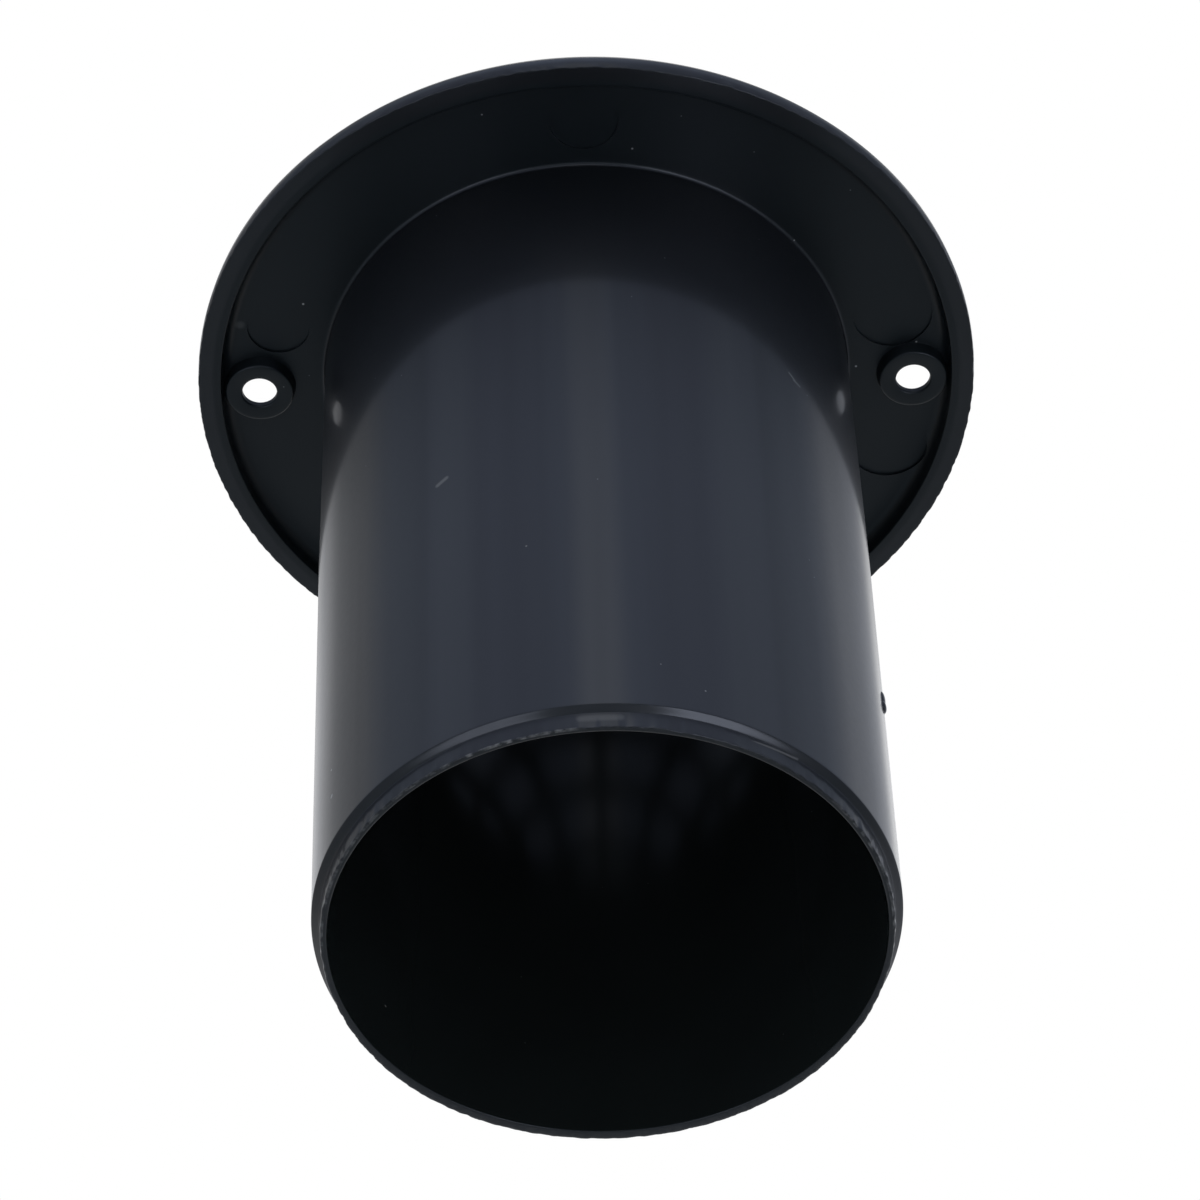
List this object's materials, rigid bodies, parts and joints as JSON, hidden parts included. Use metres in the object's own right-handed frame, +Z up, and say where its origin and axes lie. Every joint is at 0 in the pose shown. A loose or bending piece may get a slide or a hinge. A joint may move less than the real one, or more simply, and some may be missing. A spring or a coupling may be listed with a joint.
{
  "type": "floor vent",
  "caption": "Round moulded floor vent with a screwed flange, a square-mesh grille and a long spigot that passes through the floor.",
  "frame": {"origin": "middle of the vent, on the plane where the flange seats on the floor", "axes": "+Z up through the grille's front face, the spigot hangs down along -Z, and the two screw holes lie on the X axis"},
  "size_m": [0.09, 0.09, 0.094],
  "materials": {
    "black_plastic": "satin moulded, with light handling scratches"
  },
  "bodies": {
    "root": {"floor_vent": "black_plastic"}
  },
  "joints": []
}
